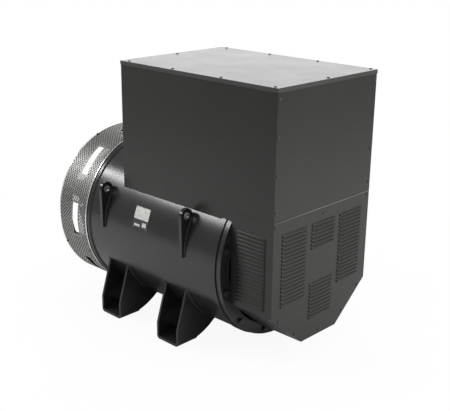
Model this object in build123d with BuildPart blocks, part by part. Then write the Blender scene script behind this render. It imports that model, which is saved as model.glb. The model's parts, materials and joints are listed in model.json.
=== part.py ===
"""Single-bearing generator alternator head, with its terminal box, louvred air inlet and perforated outlet guard.

Millimetres. The origin is the centre of the adaptor face that bolts to the engine's flywheel housing.
+X runs along the shaft from the engine to the bearing end, +Y is the far side and +Z is up.
Names: "drive end" is the engine's end, "tail end" is the bearing's end, "near side" is -Y.
"""

from build123d import *
import math
import os

os.makedirs("parts", exist_ok=True)

# ---------------------------------------------------------------- clearances
seat_gap = 0.05  # radial gap of pieces that are pressed or slid together
cope_gap = 0.2  # plates cut to the curve of the frame stop this far from it
wrap_gap = 0.3  # sheet bands and plates wrapped round a casting
screw_gap = 0.3  # radial gap of a screw in its clearance hole
air_gap = 3.0  # between rotor and stator laminations

# ---------------------------------------------------------------- engine interface
housing_flange_r = 711.2 / 2
housing_spigot_r = 647.7 / 2
housing_spigot_length = 6.0
housing_bolt_circle_r = 679.45 / 2
housing_bolt_count = 16
housing_bolt_hole_r = 7.0
plate_r = 466.72 / 2
plate_bolt_circle_r = 438.15 / 2
plate_bolt_count = 8
plate_bolt_hole_r = 6.75
plate_standout = 25.4
plate_thickness = 1.2
plate_count = 4

# ---------------------------------------------------------------- frame
shaft_height = 375.0
frame_r = 350.0
frame_wall = 8.0
bracket_depth = 196.0  # adaptor face to frame
front_ring_thickness = 16.0
rear_ring_start = 953.0
rear_ring_thickness = 22.0
rear_ring_proud = 3.0
ring_bore_r = 305.0
lead_opening_start = 560.0
lead_opening_length = 200.0
lead_opening_width = 240.0

# ---------------------------------------------------------------- drive-end bracket and guard
flange_thickness = 18.0
bracket_ring_thickness = 26.0
rib_count = 8
rib_half_angle = 6.0
rib_inner_r = 318.0
rib_outer_r = 350.0
bracket_bolt_circle_r = 334.0
bracket_bolt_r = 6.0
guard_thickness = 2.0
guard_start = 1.0
guard_end = 195.0
guard_bead = 1.5
guard_bead_width = 4.0
slot_start = 94.0
slot_width = 38.0
slot_half_angle = 12.0
slot_corner_r = 4.0
guard_screw_r = 3.0
guard_screw_head_r = 5.0
guard_screw_head = 3.0
guard_screw_depth = 14.0
guard_screw_inset = 12.0

# ---------------------------------------------------------------- feet and lifting lugs
foot_centres = (368.5, 728.5)
foot_width = 126.0
foot_plate = 10.0
foot_base = 12.0
foot_fold_r = 15.0
foot_outer_y = 372.0
foot_inner_y = 264.5
foot_toe_height = 72.0
foot_shoulder = (322.0, -140.0)
foot_tail = (148.0, -300.0)
foot_hole_y = 335.0
foot_hole_r = 11.0
lug_stations = (309.0, 797.0)
lug_thickness = 15.0
lug_angle = 28.5
lug_eye_stand = 28.0
lug_eye_r = 15.0
lug_rim_r = 30.0
lug_tail_angle = 3.0
lug_tail_r = 5.0

# ---------------------------------------------------------------- tail-end bracket and bearing
tail_rim_r = 348.0
tail_rim_bore_r = 300.0
tail_rim_thickness = 25.0
tail_register = 6.0
tail_bolt_circle_r = 327.0
tail_bolt_count = 12
tail_bolt_start_angle = 15.0
tail_bolt_r = 8.0
tail_bolt_head_r = 13.0
tail_bolt_head = 10.0
tail_bolt_grip = 18.0
spoke_count = 8
spoke_width = 40.0
spoke_thickness = 18.0
spoke_bite = 2.0
exciter_seat_r = 180.0
exciter_seat_bore_r = 160.0
exciter_seat_depth = 10.0
hub_r = 112.0
bearing_outside_r = 85.0
bearing_bore_r = 40.0
bearing_width = 39.0
bearing_start = 985.0
roller_r = 11.0
roller_length = 22.0
roller_count = 12
roller_gap = 0.05
race_lip = 3.0
cage_half_thickness = 4.5
cage_rail = 3.5
pocket_gap = 0.15
cap_thickness = 8.0
cap_spigot = 2.0
cap_face_relief = 1.0
cap_boss_r = 66.0
cap_boss_wall = 6.0
cap_boss_depth = 32.0
cap_flange_r = 108.0
cap_screw_circle_r = 97.0
cap_screw_r = 4.0
cap_screw_count = 6
cap_screw_head_r = 7.0
cap_screw_head = 6.0
cap_shaft_gap = 0.6

# ---------------------------------------------------------------- active parts
core_start = 300.0
core_length = 460.0
bore_r = 236.0
slot_count = 36
slot_depth = 48.0
stator_slot_width = 18.0
slot_liner = 0.4
winding_overhang = 60.0
winding_outer_r = 326.0
winding_inner_r = 246.0
bar_setback = 6.0
pole_count = 4
pole_body_width = 150.0
pole_shoe_half_angle = 33.0
pole_shoe_depth = 30.0
rotor_yoke_r = 130.0
coil_thickness = 34.0
coil_gap = 0.5
coil_overhang = 34.0
exciter_length = 66.0
exciter_screw_circle_r = 168.0
exciter_screw_count = 4
exciter_screw_r = 4.0
exciter_screw_head_r = 6.5
exciter_screw_head = 8.0
exciter_outer_r = 176.0
exciter_yoke = 22.0
exciter_pole_count = 8
exciter_pole_width = 34.0
exciter_coil_thickness = 9.0
exciter_coil_height = 24.0
exciter_air_gap = 1.0
armature_r = 118.0
armature_slot_count = 18
armature_slot_width = 14.0
armature_slot_depth = 20.0
armature_overhang = 15.0
rectifier_start = 846.0
rectifier_thickness = 12.0
rectifier_r = 112.0
diode_circle_r = 88.0
diode_r = 11.0
diode_height = 16.0

# ---------------------------------------------------------------- shaft, coupling and fan
hub_seat_r = 65.0
hub_seat_end = 100.0
fan_seat_r = 72.0
fan_start = 108.0
fan_length = 57.0
collar_r = 80.0
core_seat_r = 90.0
shaft_start = -12.0
armature_seat_start = 830.0
armature_seat_end = 968.0
armature_seat_r = 55.0
bearing_shoulder_r = 48.0
locknut_seat_r = 38.0
locknut_r = 52.0
locknut_length = 14.0
shaft_end = 1046.0
coupling_flange_r = 120.0
coupling_flange_thickness = 20.0
coupling_barrel_r = 96.0
clamp_ring_thickness = 8.0
clamp_ring_bore_r = 72.0
clamp_screw_circle_r = 108.0
clamp_screw_count = 8
clamp_screw_r = 6.0
clamp_screw_head_r = 9.0
clamp_screw_head = 8.0
clamp_screw_depth = 12.0
fan_r = 290.0
fan_backplate = 6.0
fan_hub_r = 100.0
fan_eye_r = 190.0
fan_blade_count = 12
fan_blade_thickness = 5.0
fan_blade_bow_r = 160.0

# ---------------------------------------------------------------- terminal box
box_start = 382.0
box_end = 1207.0
box_half_width = 291.0
box_sheet = 2.0
box_fold = 24.0
box_floor_z = 360.0
panel_gap = 0.3
saddle_stations = (452.0, 900.0)
saddle_thickness = 6.0
saddle_half_width = 240.0
lid_top_z = 723.0
lid_sheet = 2.0
lid_rim = 16.0
lid_overhang = 2.5
lid_crown = 2.5
lid_margin = 30.0
lid_corner_r = 3.0
lid_screw_stations = (421.0, 674.0, 929.0, 1185.0)
lid_screw_inset = 12.0
lid_end_screws = (401.0, 1195.0)
panel_screw_r = 3.0
panel_screw_head_r = 6.0
panel_screw_head = 3.0
panel_screw_reach = 10.0
corner_screw_heights = (276.0, 412.0, 548.0, 684.0)
busbar_stations = (560.0, 650.0, 740.0, 830.0)
busbar_width = 50.0
busbar_thickness = 8.0
busbar_start_y = 110.0
busbar_length = 160.0
insulator_r = 20.0
insulator_height = 45.0
insulator_inset = 30.0
busbar_bolt_r = 6.0
busbar_bolt_head_r = 10.0
busbar_bolt_head = 8.0
busbar_bolt_depth = 15.0
regulator_start = 930.0
regulator_length = 180.0
regulator_height = 130.0
regulator_depth = 36.0
regulator_y = -190.0
regulator_lift = 60.0
regulator_corner_r = 6.0
regulator_terminals = 10

# ---------------------------------------------------------------- louvred inlet cover
cover_sheet = 2.0
cover_top_z = 240.0
cover_shoulder_z = -136.0
cover_bottom_z = -291.0
cover_bottom_half_width = 108.0
cover_flange = 18.0
cover_seam = 0.5
cover_rail_height = 44.0
louvre_pitch = 15.4
louvre_length = 140.0
louvre_height = 11.0
louvre_stand = 5.0
louvre_skin = 1.2
side_louvre_centre = 1100.0
side_louvre_top = 169.0
side_louvre_rows = 19
rear_louvre_top = 180.0
rear_louvre_column = 172.0
rear_louvre_rows = 19
rear_middle_rows = 7
rear_low_top = -63.0
rear_low_rows = 10
cover_screws_at = ((281.0, 222.0), (248.0, -159.0), (148.0, -242.0))
cover_middle_screws_at = ((0.0, 209.0), (0.0, -277.0))

# ---------------------------------------------------------------- nameplate
plate_start_x = 493.0
plate_end_x = 584.0
plate_low_angle = 155.0
plate_high_angle = 170.0
nameplate_sheet = 1.0
rivet_r = 2.5
rivet_inset = 5.0

# ---------------------------------------------------------------- derived places
frame_front = bracket_depth + front_ring_thickness
frame_bore_r = frame_r - frame_wall
rear_ring_end = rear_ring_start + rear_ring_thickness
tail_rim_end = rear_ring_end + tail_rim_thickness
core_end = core_start + core_length
core_r = frame_bore_r - seat_gap
rotor_r = bore_r - air_gap
bearing_end = bearing_start + bearing_width
bearing_mid = bearing_start + bearing_width / 2
roller_circle_r = (bearing_outside_r + bearing_bore_r) / 2
box_wall_top = lid_top_z - lid_sheet


# ---------------------------------------------------------------- shared forms
def across(x):
    """A plane square to the shaft: local x is +Y, local y is +Z and its normal is +X."""
    return Plane.YZ.offset(x)


def on_surface(x, radius, angle):
    """A plane on a cylinder round the shaft, facing outwards, with local x along the shaft."""
    turn = math.radians(angle)
    outwards = (0, math.cos(turn), math.sin(turn))
    return Plane(origin=(x, radius * outwards[1], radius * outwards[2]), x_dir=(1, 0, 0), z_dir=outwards)


def at_angle(radius, angle):
    """A point (y, z) at a radius and an angle round the shaft."""
    return radius * math.cos(math.radians(angle)), radius * math.sin(math.radians(angle))


def annulus(x, outer, inner):
    """A ring-shaped face round the shaft at station x."""
    with BuildSketch(across(x)) as face:
        Circle(outer)
        Circle(inner, mode=Mode.SUBTRACT)
    return face.sketch


def dots(x, circle_r, count, start_angle, radius):
    """Round faces on a circle round the shaft, for holes, shanks and heads."""
    with BuildSketch(across(x)) as face:
        with PolarLocations(circle_r, count, start_angle):
            Circle(radius)
    return face.sketch


def hexes(x, circle_r, count, start_angle, radius):
    """Hexagon faces on a circle round the shaft, for bolt heads."""
    with BuildSketch(across(x)) as face:
        with PolarLocations(circle_r, count, start_angle):
            RegularPolygon(radius, 6)
    return face.sketch


def sector(x, outer, inner, middle_angle, half_angle):
    """A face between two radii, as wide as twice half_angle."""
    with BuildSketch(across(x)) as face:
        with BuildLine():
            low_in = at_angle(inner, middle_angle - half_angle)
            low_out = at_angle(outer, middle_angle - half_angle)
            high_out = at_angle(outer, middle_angle + half_angle)
            high_in = at_angle(inner, middle_angle + half_angle)
            Line(low_in, low_out)
            ThreePointArc(low_out, at_angle(outer, middle_angle), high_out)
            Line(high_out, high_in)
            ThreePointArc(high_in, at_angle(inner, middle_angle), low_in)
        make_face()
    return face.sketch


def turned(points):
    """A solid turned about the shaft from (x, radius) points."""
    with BuildPart() as piece:
        with BuildSketch(Plane.XZ) as face:
            with BuildLine():
                Polyline(*points, close=True)
            make_face()
        revolve(axis=Axis.X)
    return piece.part


def save(piece, name):
    """Labels a finished piece and writes it."""
    piece.part.label = name
    export_step(piece.part, f"parts/{name}.step")


# ================================================================ drive-end bracket
rib_angles = [360 / rib_count * (k + 0.5) for k in range(rib_count)]
slot_angles = [360 / rib_count * k for k in range(rib_count)]
bracket_ring_start = bracket_depth - bracket_ring_thickness
housing_bolt_angle = 360 / housing_bolt_count / 2
guard_screw_stations = (guard_screw_inset, bracket_depth - guard_screw_inset)

with BuildPart() as drive_end_bracket:
    extrude(annulus(0, housing_flange_r, ring_bore_r), amount=flange_thickness)
    extrude(annulus(-housing_spigot_length, housing_spigot_r, ring_bore_r), amount=housing_spigot_length)
    extrude(annulus(bracket_ring_start, housing_flange_r, ring_bore_r), amount=bracket_ring_thickness)
    for angle in rib_angles:
        rib = sector(flange_thickness, rib_outer_r, rib_inner_r, angle, rib_half_angle)
        extrude(rib, amount=bracket_ring_start - flange_thickness)
    holes = dots(0, housing_bolt_circle_r, housing_bolt_count, housing_bolt_angle, housing_bolt_hole_r)
    extrude(holes, amount=flange_thickness, mode=Mode.SUBTRACT)
    holes = dots(bracket_ring_start, bracket_bolt_circle_r, rib_count, 0, bracket_bolt_r + screw_gap)
    extrude(holes, amount=bracket_ring_thickness, mode=Mode.SUBTRACT)
    for station in guard_screw_stations:
        for angle in rib_angles[::2]:
            with BuildSketch(on_surface(station, housing_flange_r, angle)) as screw_hole:
                Circle(guard_screw_r + seat_gap)
            extrude(screw_hole.sketch, amount=-guard_screw_depth - 1, mode=Mode.SUBTRACT)
save(drive_end_bracket, "drive_end_bracket")

bracket_bolt_head = 9.0
with BuildPart() as drive_bracket_bolts:
    heads = hexes(bracket_ring_start - bracket_bolt_head, bracket_bolt_circle_r, rib_count, 0, bracket_bolt_r * 1.8)
    extrude(heads, amount=bracket_bolt_head)
    shanks = dots(bracket_ring_start, bracket_bolt_circle_r, rib_count, 0, bracket_bolt_r)
    extrude(shanks, amount=frame_front - bracket_ring_start - 1)
save(drive_bracket_bolts, "drive_bracket_bolts")

# ================================================================ air outlet guard
guard_bore_r = housing_flange_r + wrap_gap
guard_skin_r = guard_bore_r + guard_thickness
bead_r = guard_skin_r + guard_bead
slot_length = 2 * guard_skin_r * math.sin(math.radians(slot_half_angle))
slot_floor_r = guard_bore_r * math.cos(math.radians(slot_half_angle)) - guard_thickness
with BuildPart() as air_outlet_guard:
    add(
        turned(
            [
                (guard_start, guard_bore_r),
                (guard_start, bead_r),
                (guard_start + guard_bead_width, bead_r),
                (guard_start + guard_bead_width + guard_bead, guard_skin_r),
                (guard_end - guard_bead_width - guard_bead, guard_skin_r),
                (guard_end - guard_bead_width, bead_r),
                (guard_end, bead_r),
                (guard_end, guard_bore_r),
            ]
        )
    )
    for angle in slot_angles:
        with BuildSketch(on_surface(slot_start + slot_width / 2, slot_floor_r, angle)) as window:
            RectangleRounded(slot_width, slot_length, slot_corner_r)
        extrude(window.sketch, amount=bead_r - slot_floor_r, mode=Mode.SUBTRACT)
    for station in guard_screw_stations:
        for angle in rib_angles[::2]:
            with BuildSketch(on_surface(station, housing_flange_r, angle)) as screw_hole:
                Circle(guard_screw_r + screw_gap)
            extrude(screw_hole.sketch, amount=frame_wall, mode=Mode.SUBTRACT)
save(air_outlet_guard, "air_outlet_guard")

with BuildPart() as guard_screws:
    for station in guard_screw_stations:
        for angle in rib_angles[::2]:
            with BuildSketch(on_surface(station, guard_skin_r, angle)) as head:
                Circle(guard_screw_head_r)
            extrude(head.sketch, amount=guard_screw_head)
            with BuildSketch(on_surface(station, guard_skin_r, angle)) as shank:
                Circle(guard_screw_r)
            extrude(shank.sketch, amount=-guard_screw_depth)
save(guard_screws, "guard_screws")

# ================================================================ frame
with BuildPart() as front_ring:
    extrude(annulus(bracket_depth, housing_flange_r, ring_bore_r), amount=front_ring_thickness)
    holes = dots(bracket_depth, bracket_bolt_circle_r, rib_count, 0, bracket_bolt_r + seat_gap)
    extrude(holes, amount=front_ring_thickness, mode=Mode.SUBTRACT)
save(front_ring, "frame_front_ring")

with BuildPart() as frame_shell:
    extrude(annulus(frame_front, frame_r, frame_bore_r), amount=rear_ring_start - frame_front)
    with BuildSketch(Plane.XY.offset(0)) as lead_opening:
        with Locations((lead_opening_start + lead_opening_length / 2, 0)):
            RectangleRounded(lead_opening_length, lead_opening_width, lug_rim_r)
    extrude(lead_opening.sketch, amount=frame_r + frame_wall, mode=Mode.SUBTRACT)
save(frame_shell, "frame_shell")

with BuildPart() as rear_ring:
    extrude(annulus(rear_ring_start, frame_r + rear_ring_proud, ring_bore_r), amount=rear_ring_thickness)
    holes = dots(rear_ring_start, tail_bolt_circle_r, tail_bolt_count, tail_bolt_start_angle, tail_bolt_r + seat_gap)
    extrude(holes, amount=rear_ring_thickness, mode=Mode.SUBTRACT)
save(rear_ring, "frame_rear_ring")


# ================================================================ feet, bent from plate and coped to the frame
def foot(centre, side):
    """A U of bent plate: a base with a bolt hole and two sides that rise to the frame."""
    floor = -shaft_height
    edge = centre - foot_width / 2
    with BuildPart() as piece:
        with BuildSketch(across(edge)) as outline:
            with BuildLine():
                heel = (side * foot_outer_y, floor)
                toe = (side * foot_outer_y, floor + foot_toe_height)
                shoulder = (side * foot_shoulder[0], foot_shoulder[1])
                tail = (side * foot_tail[0], foot_tail[1])
                arch = (side * foot_inner_y, floor + foot_base)
                Polyline((side * foot_inner_y, floor), heel, toe, shoulder, (0, 0), tail)
                ThreePointArc(tail, (side * (foot_inner_y - 42), floor + foot_base + 14), arch)
                Line(arch, (side * foot_inner_y, floor))
            make_face()
        extrude(outline.sketch, amount=foot_width)
        folds = piece.edges().filter_by(Axis.Y).group_by(Axis.Z)[0]
        fillet(folds, radius=foot_fold_r)
        with BuildSketch(Plane.XZ) as channel:
            inside = foot_width - 2 * foot_plate
            height = shaft_height - foot_base
            with Locations((centre, -height / 2)):
                Rectangle(inside, height)
            corners = channel.vertices().group_by(Axis.Z)[0]
            fillet(corners, radius=foot_fold_r - foot_plate)
        extrude(channel.sketch, amount=-side * foot_outer_y, mode=Mode.SUBTRACT)
        extrude(dots(edge, 0, 1, 0, frame_r + cope_gap), amount=foot_width, mode=Mode.SUBTRACT)
        with BuildSketch(Plane.XY.offset(floor)) as bolt_hole:
            with Locations((centre, side * foot_hole_y)):
                Circle(foot_hole_r)
        extrude(bolt_hole.sketch, amount=foot_base + 1, mode=Mode.SUBTRACT)
    return piece


for centre, end_name in zip(foot_centres, ("front", "rear")):
    for side, side_name in ((-1, "near"), (1, "far")):
        save(foot(centre, side), f"foot_{end_name}_{side_name}")


# ================================================================ lifting lugs
eye = at_angle(frame_r + lug_eye_stand, lug_angle)
tail_point = at_angle(frame_r + lug_tail_r, lug_tail_angle)
with BuildPart() as lifting_lugs:
    for station in lug_stations:
        for side in (-1, 1):
            with BuildSketch(across(station - lug_thickness / 2)) as plate:
                with BuildLine():
                    CenterArc((side * eye[0], eye[1]), lug_rim_r, 0, 360)
                    CenterArc((side * tail_point[0], tail_point[1]), lug_tail_r, 0, 360)
                    CenterArc((side * (frame_r - lug_rim_r), eye[1] / 2), lug_tail_r, 0, 360)
                make_hull()
                Circle(frame_r + cope_gap, mode=Mode.SUBTRACT)
                with Locations((side * eye[0], eye[1])):
                    Circle(lug_eye_r, mode=Mode.SUBTRACT)
            extrude(plate.sketch, amount=lug_thickness)
save(lifting_lugs, "lifting_lugs")

# ================================================================ tail-end bracket
seat_start = rear_ring_end - exciter_seat_depth
hub_end = bearing_end + cap_spigot
with BuildPart() as rear_bracket:
    extrude(annulus(rear_ring_end, tail_rim_r, tail_rim_bore_r), amount=tail_rim_thickness)
    register_r = ring_bore_r - seat_gap
    extrude(annulus(rear_ring_end - tail_register, register_r, tail_rim_bore_r), amount=tail_register)
    extrude(annulus(seat_start, exciter_seat_r, exciter_seat_bore_r), amount=tail_rim_end - seat_start)
    extrude(annulus(bearing_start, hub_r, bearing_outside_r), amount=hub_end - bearing_start)
    for k in range(spoke_count):
        with BuildSketch(across(tail_rim_end - spoke_thickness)) as spoke:
            spoke_angle = 360 / spoke_count * (k + 0.5)
            with Locations(at_angle((hub_r + tail_rim_bore_r) / 2, spoke_angle)):
                Rectangle(tail_rim_bore_r - hub_r + 2 * spoke_bite, spoke_width, rotation=spoke_angle)
        extrude(spoke.sketch, amount=spoke_thickness)
    holes = dots(rear_ring_end, tail_bolt_circle_r, tail_bolt_count, tail_bolt_start_angle, tail_bolt_r + screw_gap)
    extrude(holes, amount=tail_rim_thickness, mode=Mode.SUBTRACT)
    holes = dots(bearing_start, cap_screw_circle_r, cap_screw_count, 0, cap_screw_r + seat_gap)
    extrude(holes, amount=hub_end - bearing_start, mode=Mode.SUBTRACT)
    holes = dots(seat_start, exciter_screw_circle_r, exciter_screw_count, 0, exciter_screw_r + seat_gap)
    extrude(holes, amount=exciter_seat_depth + tail_rim_thickness / 2, mode=Mode.SUBTRACT)
save(rear_bracket, "rear_bracket")

with BuildPart() as rear_bracket_bolts:
    circle = (tail_bolt_circle_r, tail_bolt_count, tail_bolt_start_angle)
    extrude(hexes(tail_rim_end, *circle, tail_bolt_head_r), amount=tail_bolt_head)
    shank_start = tail_rim_end - tail_rim_thickness - tail_bolt_grip
    extrude(dots(shank_start, *circle, tail_bolt_r), amount=tail_rim_end - shank_start)
save(rear_bracket_bolts, "rear_bracket_bolts")

# ================================================================ bearing
inner_race_r = roller_circle_r - roller_r - roller_gap
outer_race_r = roller_circle_r + roller_r + roller_gap
race_start = bearing_mid - roller_length / 2 - roller_gap
race_end = bearing_mid + roller_length / 2 + roller_gap

outer_ring_r = bearing_outside_r - seat_gap
with BuildPart() as bearing_outer_ring:
    add(
        turned(
            [
                (bearing_start, outer_ring_r),
                (bearing_end, outer_ring_r),
                (bearing_end, outer_race_r - race_lip),
                (race_end, outer_race_r - race_lip),
                (race_end, outer_race_r),
                (race_start, outer_race_r),
                (race_start, outer_race_r - race_lip),
                (bearing_start, outer_race_r - race_lip),
            ]
        )
    )
save(bearing_outer_ring, "bearing_outer_ring")

with BuildPart() as bearing_inner_ring:
    extrude(annulus(bearing_start, inner_race_r, bearing_bore_r + seat_gap), amount=bearing_width)
save(bearing_inner_ring, "bearing_inner_ring")

with BuildPart() as bearing_rollers:
    rollers = dots(bearing_mid - roller_length / 2, roller_circle_r, roller_count, 0, roller_r)
    extrude(rollers, amount=roller_length)
save(bearing_rollers, "bearing_rollers")

cage_start = bearing_mid - roller_length / 2 - pocket_gap - cage_rail
cage_width = roller_length + 2 * (pocket_gap + cage_rail)
with BuildPart() as bearing_cage:
    cage = annulus(cage_start, roller_circle_r + cage_half_thickness, roller_circle_r - cage_half_thickness)
    extrude(cage, amount=cage_width)
    pocket_start = bearing_mid - roller_length / 2 - pocket_gap
    pockets = dots(pocket_start, roller_circle_r, roller_count, 0, roller_r + pocket_gap)
    extrude(pockets, amount=roller_length + 2 * pocket_gap, mode=Mode.SUBTRACT)
save(bearing_cage, "bearing_cage")

with BuildPart() as bearing_cap_inner:
    relief = bearing_start - cap_face_relief
    add(
        turned(
            [
                (bearing_start - cap_thickness, bearing_shoulder_r + cap_shaft_gap),
                (bearing_start - cap_thickness, cap_flange_r),
                (bearing_start, cap_flange_r),
                (bearing_start, outer_race_r),
                (relief, outer_race_r),
                (relief, bearing_shoulder_r + cap_shaft_gap),
            ]
        )
    )
    holes = dots(bearing_start - cap_thickness, cap_screw_circle_r, cap_screw_count, 0, cap_screw_r + seat_gap)
    extrude(holes, amount=cap_thickness, mode=Mode.SUBTRACT)
save(bearing_cap_inner, "bearing_cap_inner")

cap_end = hub_end + cap_thickness
boss_end = hub_end + cap_boss_depth
with BuildPart() as bearing_cap_outer:
    add(
        turned(
            [
                (bearing_end, outer_race_r),
                (bearing_end, outer_ring_r),
                (hub_end, outer_ring_r),
                (hub_end, cap_flange_r),
                (cap_end, cap_flange_r),
                (cap_end, cap_boss_r),
                (boss_end - cap_boss_wall, cap_boss_r),
                (boss_end, cap_boss_r - cap_boss_wall),
                (boss_end, 0),
                (boss_end - cap_boss_wall, 0),
                (boss_end - cap_boss_wall, cap_boss_r - cap_boss_wall),
                (hub_end, cap_boss_r - cap_boss_wall),
                (hub_end, outer_race_r),
            ]
        )
    )
    holes = dots(hub_end, cap_screw_circle_r, cap_screw_count, 0, cap_screw_r + screw_gap)
    extrude(holes, amount=cap_thickness, mode=Mode.SUBTRACT)
save(bearing_cap_outer, "bearing_cap_outer")

with BuildPart() as bearing_cap_screws:
    circle = (cap_screw_circle_r, cap_screw_count, 0)
    extrude(hexes(cap_end, *circle, cap_screw_head_r), amount=cap_screw_head)
    screw_start = bearing_start - cap_thickness
    extrude(dots(screw_start, *circle, cap_screw_r), amount=cap_end - screw_start)
save(bearing_cap_screws, "bearing_cap_screws")


# ================================================================ stator
def wound(start, end, overhang, ring_r, bars_r, slots, bar_width, slot_bottom):
    """End-turn rings at both ends of a slotted core, joined by the coil sides in its slots."""
    with BuildPart() as winding:
        extrude(annulus(start - overhang, *ring_r), amount=overhang)
        extrude(annulus(end, *ring_r), amount=overhang)
        rims = winding.edges().filter_by(GeomType.CIRCLE).sort_by(Axis.X)
        chamfer(rims[:2] + rims[-2:], length=overhang / 5)
        with BuildSketch(across(start)) as bars:
            with PolarLocations((bars_r + slot_bottom) / 2, slots):
                Rectangle(abs(slot_bottom - bars_r), bar_width)
        extrude(bars.sketch, amount=end - start)
    return winding


with BuildPart() as stator_core:
    extrude(annulus(core_start, core_r, bore_r), amount=core_length)
    with BuildSketch(across(core_start)) as slots:
        with PolarLocations(bore_r + slot_depth / 2 - 1, slot_count):
            Rectangle(slot_depth + 2, stator_slot_width)
    extrude(slots.sketch, amount=core_length, mode=Mode.SUBTRACT)
save(stator_core, "stator_core")

stator_winding = wound(
    core_start,
    core_end,
    winding_overhang,
    (winding_outer_r, winding_inner_r),
    winding_inner_r + bar_setback,
    slot_count,
    stator_slot_width - 2 * slot_liner,
    bore_r + slot_depth - slot_liner,
)
save(stator_winding, "stator_winding")

# ================================================================ exciter
exciter_start = seat_start - exciter_length
exciter_bore_r = armature_r + exciter_air_gap
exciter_yoke_r = exciter_outer_r - exciter_yoke
with BuildPart() as exciter_stator:
    extrude(annulus(exciter_start, exciter_outer_r, exciter_yoke_r), amount=exciter_length)
    with BuildSketch(across(exciter_start)) as poles:
        with PolarLocations((exciter_bore_r + exciter_yoke_r) / 2, exciter_pole_count, 45 / 2):
            Rectangle(exciter_yoke_r - exciter_bore_r + 6, exciter_pole_width)
        Circle(exciter_bore_r, mode=Mode.SUBTRACT)
    extrude(poles.sketch, amount=exciter_length)
    holes = dots(exciter_start, exciter_screw_circle_r, exciter_screw_count, 0, exciter_screw_r + screw_gap)
    extrude(holes, amount=exciter_length, mode=Mode.SUBTRACT)
save(exciter_stator, "exciter_stator")

with BuildPart() as exciter_coils:
    for k in range(exciter_pole_count):
        pole_angle = 360 / exciter_pole_count * (k + 0.5)
        coil_low = exciter_yoke_r - exciter_coil_height - 4
        with BuildSketch(on_surface(exciter_start + exciter_length / 2, coil_low, pole_angle)) as loop:
            grow = 2 * (exciter_coil_thickness + coil_gap)
            RectangleRounded(exciter_length + grow, exciter_pole_width + grow, exciter_coil_thickness)
            Rectangle(exciter_length + 2 * coil_gap, exciter_pole_width + 2 * coil_gap, mode=Mode.SUBTRACT)
        extrude(loop.sketch, amount=exciter_coil_height)
save(exciter_coils, "exciter_field_coils")

with BuildPart() as exciter_screws:
    circle = (exciter_screw_circle_r, exciter_screw_count, 0)
    extrude(hexes(exciter_start - exciter_screw_head, *circle, exciter_screw_head_r), amount=exciter_screw_head)
    extrude(dots(exciter_start, *circle, exciter_screw_r), amount=exciter_length + exciter_seat_depth + 6)
save(exciter_screws, "exciter_screws")

armature_bore_r = armature_seat_r + seat_gap
with BuildPart() as exciter_armature:
    extrude(annulus(exciter_start, armature_r, armature_bore_r), amount=exciter_length)
    with BuildSketch(across(exciter_start)) as slots:
        with PolarLocations(armature_r - armature_slot_depth / 2 + 1, armature_slot_count):
            Rectangle(armature_slot_depth + 2, armature_slot_width)
    extrude(slots.sketch, amount=exciter_length, mode=Mode.SUBTRACT)
save(exciter_armature, "exciter_armature")

armature_winding = wound(
    exciter_start,
    exciter_start + exciter_length,
    armature_overhang - exciter_coil_thickness / 2,
    (armature_r - bar_setback / 2, armature_r - armature_slot_depth - bar_setback),
    armature_r - bar_setback,
    armature_slot_count,
    armature_slot_width - 2 * slot_liner,
    armature_r - armature_slot_depth + slot_liner,
)
save(armature_winding, "armature_winding")

with BuildPart() as rectifier_wheel:
    extrude(annulus(rectifier_start, rectifier_r, armature_bore_r), amount=rectifier_thickness)
    with BuildSketch(across(rectifier_start)) as split_line:
        Rectangle(2 * rectifier_r, coil_gap * 4)
        Circle(diode_circle_r - 2 * diode_r, mode=Mode.SUBTRACT)
    extrude(split_line.sketch, amount=rectifier_thickness, mode=Mode.SUBTRACT)
save(rectifier_wheel, "rectifier_wheel")

with BuildPart() as diodes:
    diode_angle = 30
    diode_start = rectifier_start + rectifier_thickness
    extrude(hexes(diode_start, diode_circle_r, 6, diode_angle, diode_r), amount=diode_height / 3)
    extrude(dots(diode_start, diode_circle_r, 6, diode_angle, diode_r * 0.7), amount=diode_height)
save(diodes, "rectifier_diodes")

# ================================================================ rotor
with BuildPart() as shaft:
    add(
        turned(
            [
                (shaft_start, 0),
                (shaft_start, hub_seat_r),
                (hub_seat_end, hub_seat_r),
                (hub_seat_end, fan_seat_r),
                (fan_start + fan_length, fan_seat_r),
                (fan_start + fan_length, collar_r),
                (core_start - 4, collar_r),
                (core_start - 4, core_seat_r + 8),
                (core_start, core_seat_r + 8),
                (core_start, core_seat_r),
                (core_end, core_seat_r),
                (core_end, collar_r),
                (armature_seat_start, collar_r),
                (armature_seat_start, armature_seat_r),
                (armature_seat_end, armature_seat_r),
                (armature_seat_end, bearing_shoulder_r),
                (bearing_start, bearing_shoulder_r),
                (bearing_start, bearing_bore_r),
                (bearing_end, bearing_bore_r),
                (bearing_end, locknut_seat_r),
                (shaft_end, locknut_seat_r),
                (shaft_end, 0),
            ]
        )
    )
save(shaft, "shaft")

shoe_inner_r = rotor_r - pole_shoe_depth
with BuildPart() as rotor_core:
    with BuildSketch(across(core_start)) as lamination:
        Circle(rotor_yoke_r)
        Rectangle(2 * shoe_inner_r, pole_body_width)
        Rectangle(pole_body_width, 2 * shoe_inner_r)
        for k in range(pole_count):
            add(sector(0, rotor_r, shoe_inner_r - 4, 90 * k, pole_shoe_half_angle).faces())
        Circle(core_seat_r + seat_gap, mode=Mode.SUBTRACT)
    extrude(lamination.sketch, amount=core_length)
save(rotor_core, "rotor_core")

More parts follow.
